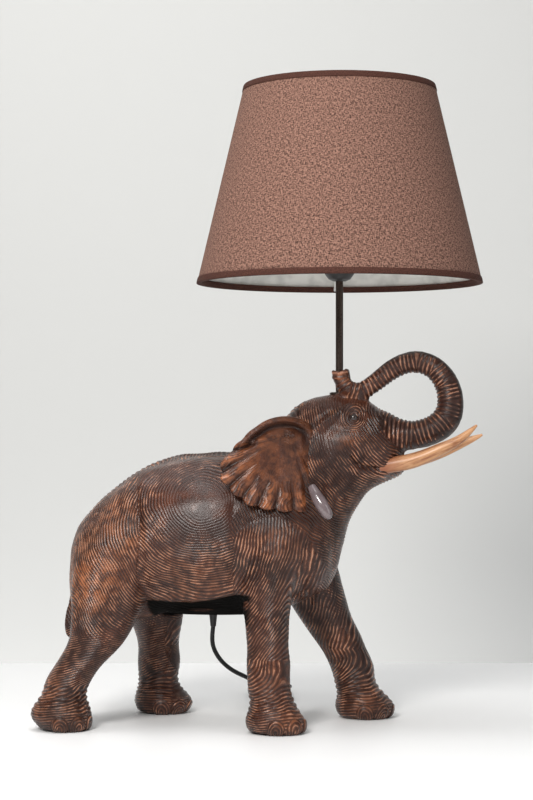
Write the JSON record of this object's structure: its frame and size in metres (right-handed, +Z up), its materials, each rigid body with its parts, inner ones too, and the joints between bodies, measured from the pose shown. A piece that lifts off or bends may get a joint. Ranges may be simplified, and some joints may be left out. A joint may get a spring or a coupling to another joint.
{
  "type": "elephant table lamp",
  "caption": "Table lamp with a carved-look standing elephant whose raised trunk curls back in front of a pole that carries a tapered woven drum shade.",
  "frame": {"origin": "centre of the bounding box's base, without the free lead, on the surface that the feet stand on", "axes": "+X towards the elephant's head and tusks, +Y towards the elephant's left side, +Z up along the pole"},
  "size_m": [0.4889, 0.4538, 0.7093],
  "materials": {
    "carved_resin": "satin, carved and stained",
    "tusk_resin": "satin",
    "black_cover": "rough",
    "felt": "matt",
    "dark_bronze": "satin",
    "zinc_steel": "satin",
    "black_lead": "satin",
    "black_plastic": "satin",
    "brass_contact": "bright",
    "bulb_plastic": "satin",
    "bulb_glass": "frosted",
    "light_board": "matt",
    "shade_linen": "woven",
    "shade_tape": "woven",
    "shade_white": "matt",
    "white_wire": "satin"
  },
  "bodies": {
    "root": {"elephant_casting": "carved_resin", "ear_right": "carved_resin", "ear_left": "carved_resin", "tusk_right": "tusk_resin", "tusk_left": "tusk_resin", "belly_cover": "black_cover", "belly_cover_screws": "zinc_steel", "cord_relief": "black_plastic", "cord_clamp": "black_plastic", "foot_pads": "felt", "pole": "dark_bronze", "pole_collar": "dark_bronze", "pole_washer": "zinc_steel", "pole_nut": "zinc_steel", "inner_lead": "black_lead", "holder_cap": "black_plastic", "holder_block": "bulb_plastic", "holder_sleeve": "brass_contact", "holder_centre_contact": "brass_contact", "holder_skirt": "black_plastic", "holder_terminal_screws": "brass_contact", "lead_to_switch": "black_lead", "lead_to_hank": "black_lead", "lead_hank": "black_lead", "lead_to_plug": "black_lead", "lead_tie": "black_plastic", "switch_base": "black_plastic", "switch_cover": "black_plastic", "switch_pin": "zinc_steel", "switch_contacts": "brass_contact", "switch_screws": "zinc_steel", "plug_body": "black_plastic", "plug_pins": "brass_contact", "plug_relief": "black_plastic"},
    "shade": {"shade_fabric": "shade_linen", "shade_liner": "shade_white", "shade_trim_low": "shade_tape", "shade_trim_high": "shade_tape", "shade_wire_high": "white_wire", "shade_carrier": "white_wire"},
    "ring": {"shade_ring": "black_plastic"},
    "bulb": {"bulb_cap": "brass_contact", "bulb_insulator": "black_plastic", "bulb_contact": "brass_contact", "bulb_housing": "bulb_plastic", "bulb_light_board": "light_board", "bulb_envelope": "bulb_glass"},
    "rocker": {"switch_rocker": "black_plastic"}
  },
  "joints": [
    {"name": "shade_lift", "type": "slide", "parent": "root", "child": "shade", "axis": [0, 0, 1], "range_m": [0, 0.14]},
    {"name": "ring_turn", "type": "hinge", "parent": "shade", "child": "ring", "pos_m": [0.088, 0, 0.5267], "axis": [0, 0, 1], "continuous": true},
    {"name": "bulb_turn", "type": "hinge", "parent": "root", "child": "bulb", "pos_m": [0.088, 0, 0.54], "axis": [0, 0, 1], "continuous": true},
    {"name": "switch_rock", "type": "hinge", "parent": "root", "child": "rocker", "pos_m": [-0.01148, 0.15137, 0.0145], "axis": [0.9903, 0.1392, 0], "range_deg": [0, 16]}
  ]
}
